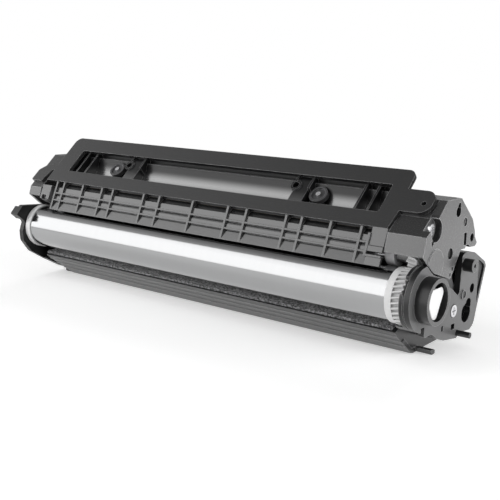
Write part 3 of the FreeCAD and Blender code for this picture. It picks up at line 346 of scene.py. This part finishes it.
# Top frame: one moulding of window, ears and ribbed louvre guide, with pale edges on every rib, a painted
# highlight that also stands for rubbed wear.
# The sides of the ribs face along the drum; they are matt and painted nearly black, a painted shade.
frame_black = moulding("frame black", (0.014, 0.014, 0.0145), (0.5, 0.5, 0.505), 0.25,
                       face=(0.004, 0.004, 0.004), face_roughness=0.85, edge_width=0.00032,
                       edge_strength=0.6, Specular_IOR_Level=1.0)
dress(frame_black, "top_frame")

# Window discs: two grey eyelets pressed over bright studs in the tank's wall.
# They are the same moulded skin as the blacks, a little paler.
disc_grey = moulding("disc grey", (0.055, 0.055, 0.057), (0.3, 0.3, 0.31), 0.38)
dress(disc_grey, "window_disc_left", "window_disc_right")

# Hopper caps and bearings: black mouldings over the gear train, screwed through a round pocket.
# The developer gear is white acetal like the drum's; the two gears behind it are made black as painted shade,
# so the cap's hole reads dark.
# The caps' faces along the drum are paler than the rest: painted light.
cap_black = moulding("cap black", (0.022, 0.022, 0.0225), (0.62, 0.62, 0.63), 0.26,
                     face=(0.085, 0.085, 0.086), edge_width=0.0006, edge_strength=0.85,
                     Specular_IOR_Level=1.0)
dress(cap_black, "hopper_cap_right", "hopper_cap_left", "developer_bearing_right", "developer_bearing_left")
dress(gear_white, "developer_gear")
dress(bin_black, "idler_gear", "agitator_gear")

# Developer roller: a blasted aluminium sleeve over a magnet bar, with grey spacers at its ends.
# The agitator's shaft is moulded in the spacers' grey.
sleeve_metal = moulding("sleeve", (0.10, 0.10, 0.105), (0.2, 0.2, 0.2), 0.5, grain_depth=0.00006,
                        Metallic=0.6)
dress(sleeve_metal, "developer_sleeve")
spacer_grey = moulding("spacer grey", (0.55, 0.55, 0.56), (0.7, 0.7, 0.7), 0.42, cloud=0.12)
dress(spacer_grey, "developer_spacer_right", "developer_spacer_left", "agitator_shaft", "magnet_core")

# Pressure springs: two wire coils behind the pivot, standing on the bin and pressed by the tank.
# They shorten as the hopper lifts; a wound coil, attached to the drum unit, stands for each rigid one.
wire_thick = 0.0003
wire_turns = 4
steps_a_turn = 28
wire_sides = 10


def wire_coil(name, low, high):
    """A round wire wound in a helix that fills the box between two corners."""
    radius = (high[0] - low[0]) / 2 - wire_thick
    climb = high[2] - low[2] - 2 * wire_thick
    steps = steps_a_turn * wire_turns
    points = []
    for step in range(steps + 1):
        turn = 2 * math.pi * wire_turns * step / steps
        outward = Vector((math.cos(turn), math.sin(turn), 0.0))
        level = low[2] + wire_thick + climb * step / steps
        middle = Vector(((low[0] + high[0]) / 2, (low[1] + high[1]) / 2, level))
        for side in range(wire_sides):
            angle = 2 * math.pi * side / wire_sides
            across = outward * (radius + wire_thick * math.cos(angle))
            points.append(middle + across + Vector((0.0, 0.0, wire_thick * math.sin(angle))))
    faces = [tuple(range(wire_sides)), tuple(range(len(points) - 1, len(points) - 1 - wire_sides, -1))]
    for step in range(steps):
        for side in range(wire_sides):
            after = (side + 1) % wire_sides
            first = step * wire_sides
            faces.append((first + side, first + wire_sides + side, first + wire_sides + after, first + after))
    mesh = bpy.data.meshes.new(name)
    mesh.from_pydata(points, [], faces)
    mesh.shade_smooth()
    coil = bpy.data.objects.new(name, mesh)
    bpy.context.scene.collection.objects.link(coil)
    return coil


for hand in ("left", "right"):
    low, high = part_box("pressure_spring_" + hand)
    coil = wire_coil("pressure_coil_" + hand, low, high)
    coil.data.materials.append(bright_metal)
    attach(coil, "drum_unit")
    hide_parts("pressure_spring_" + hand)
    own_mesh(coil)

# Studio: a white floor that fades into white surroundings, one tall soft box in front and two weak lamps.
# The box reaches from the floor to high overhead, which gives the drum its broad bright band.
floor_z = cad_low[2]
floor_size = 4.0
floor_drop = 0.0001
seen_glow = 0.42
mirrored_glow = 0.52
paper_clear = (0.22, 0.55)
sheet_ends = (0.40, 0.52)
dusk_heights = (0.55, 0.98)
dusk_share = 0.3
dull_depths = (-0.4, 0.3)
dull_share = 0.35
plain_share = 0.5
bpy.ops.mesh.primitive_plane_add(size=floor_size, location=(0, 0, floor_z - floor_drop))
floor = bpy.context.object
floor.name = "studio_floor"
paper, tree, shader = new_finish("studio paper", Roughness=1.0, Specular_IOR_Level=0.0)
shader["Base Color"].default_value = (0.9, 0.9, 0.9, 1)
place = add(tree, "ShaderNodeTexCoord")
reach = add(tree, "ShaderNodeVectorMath", operation="LENGTH")
tree.links.new(place.outputs["Object"], reach.inputs[0])
fade = add(tree, "ShaderNodeMapRange", interpolation_type="SMOOTHSTEP", From_Min=paper_clear[0],
           From_Max=paper_clear[1])
tree.links.new(reach.outputs["Value"], fade.inputs["Value"])
path = add(tree, "ShaderNodeLightPath")
unseen = sum_of(tree, "MULTIPLY", fade.outputs[0], path.outputs["Is Camera Ray"])
mirrored = sum_of(tree, "MAXIMUM", path.outputs["Is Glossy Ray"], path.outputs["Is Transmission Ray"])
sheet = add(tree, "ShaderNodeMapRange", From_Min=sheet_ends[0], From_Max=sheet_ends[1], To_Min=mirrored_glow,
            To_Max=0.0)
tree.links.new(reach.outputs["Value"], sheet.inputs["Value"])
glow = sum_of(tree, "ADD", sum_of(tree, "MULTIPLY", path.outputs["Is Camera Ray"], seen_glow),
              sum_of(tree, "MULTIPLY", mirrored, sheet.outputs["Result"]))
shader["Emission Color"].default_value = (1, 1, 1, 1)
tree.links.new(glow, shader["Emission Strength"])
clear = add(tree, "ShaderNodeBsdfTransparent")
mixed = add(tree, "ShaderNodeMixShader")
tree.links.new(unseen, mixed.inputs[0])
tree.links.new(tree.nodes["Principled BSDF"].outputs[0], mixed.inputs[1])
tree.links.new(clear.outputs[0], mixed.inputs[2])
tree.links.new(mixed.outputs[0], tree.nodes["Material Output"].inputs["Surface"])
floor.data.materials.append(paper)
floor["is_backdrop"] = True

world = bpy.data.worlds.new("studio")
bpy.context.scene.world = world
world.use_nodes = True
tree = world.node_tree
sky = tree.nodes["Background"]
path = add(tree, "ShaderNodeLightPath")
mirrored = sum_of(tree, "MAXIMUM", path.outputs["Is Glossy Ray"], path.outputs["Is Transmission Ray"])
place = add(tree, "ShaderNodeTexCoord")
height = add(tree, "ShaderNodeSeparateXYZ")
tree.links.new(place.outputs["Generated"], height.inputs[0])
dusk = add(tree, "ShaderNodeMapRange", From_Min=dusk_heights[0], From_Max=dusk_heights[1], To_Min=1.0,
           To_Max=dusk_share)
tree.links.new(height.outputs["Z"], dusk.inputs["Value"])
ambient = add(tree, "ShaderNodeMapRange", To_Min=plain_share, To_Max=1.0)
tree.links.new(mirrored, ambient.inputs["Value"])
behind = add(tree, "ShaderNodeMapRange", interpolation_type="SMOOTHSTEP", From_Min=dull_depths[0],
             From_Max=dull_depths[1], To_Min=1.0, To_Max=dull_share)
tree.links.new(height.outputs["Y"], behind.inputs["Value"])
dull = sum_of(tree, "MULTIPLY", dusk.outputs[0], behind.outputs[0])
dim = sum_of(tree, "MULTIPLY", ambient.outputs[0], dull)
tree.links.new(sum_of(tree, "MAXIMUM", dim, path.outputs["Is Camera Ray"]), sky.inputs["Strength"])
sky.inputs["Color"].default_value = (1, 1, 1, 1)


def lamp(name, place, aim, width, height, power):
    """A soft rectangular lamp at a place, turned towards a point."""
    light = bpy.data.lights.new(name, "AREA")
    light.shape = "RECTANGLE"
    light.size = width
    light.size_y = height
    light.energy = power
    holder = bpy.data.objects.new(name, light)
    bpy.context.scene.collection.objects.link(holder)
    holder.location = place
    holder.rotation_euler = (Vector(aim) - Vector(place)).to_track_quat("-Z", "Y").to_euler()
    return holder


lamp("soft box", (-0.87, -0.667, 0.482), (-0.87, 0.154, -0.006), 1.45, 1.11, 9.0)
part_middle = (0.0, 0.0, 0.04)
side_lamp = lamp("lamp right", (1.1, 0.15, 0.30), part_middle, 0.7, 0.6, 9.0)
# Kept out of reflections, or the top would turn white where it is seen at a glance from the left end.
side_lamp.visible_glossy = False
lamp("lamp back", (-0.2, 1.0, 0.9), part_middle, 1.0, 0.6, 4.0)

# Camera: the photograph's place and lens, from the middle of the drum's axis.
# Its place and its backward direction were fitted to the photograph.
drum_axis = next(Vector(j["pos_m"]) for j in frame["joints"] if j["name"] == "drum_spin")
eye = bpy.data.cameras.new("camera")
eye.lens = 63.36
eye.sensor_width = 36.0
camera = bpy.data.objects.new("camera", eye)
bpy.context.scene.collection.objects.link(camera)
camera.location = drum_axis + Vector((0.30315, -0.32690, 0.10485))
camera.rotation_euler = Vector((0.61329, -0.75723, 0.22466)).to_track_quat("Z", "Y").to_euler()
bpy.context.scene.camera = camera
bpy.context.scene.view_settings.view_transform = "Standard"

low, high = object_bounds()
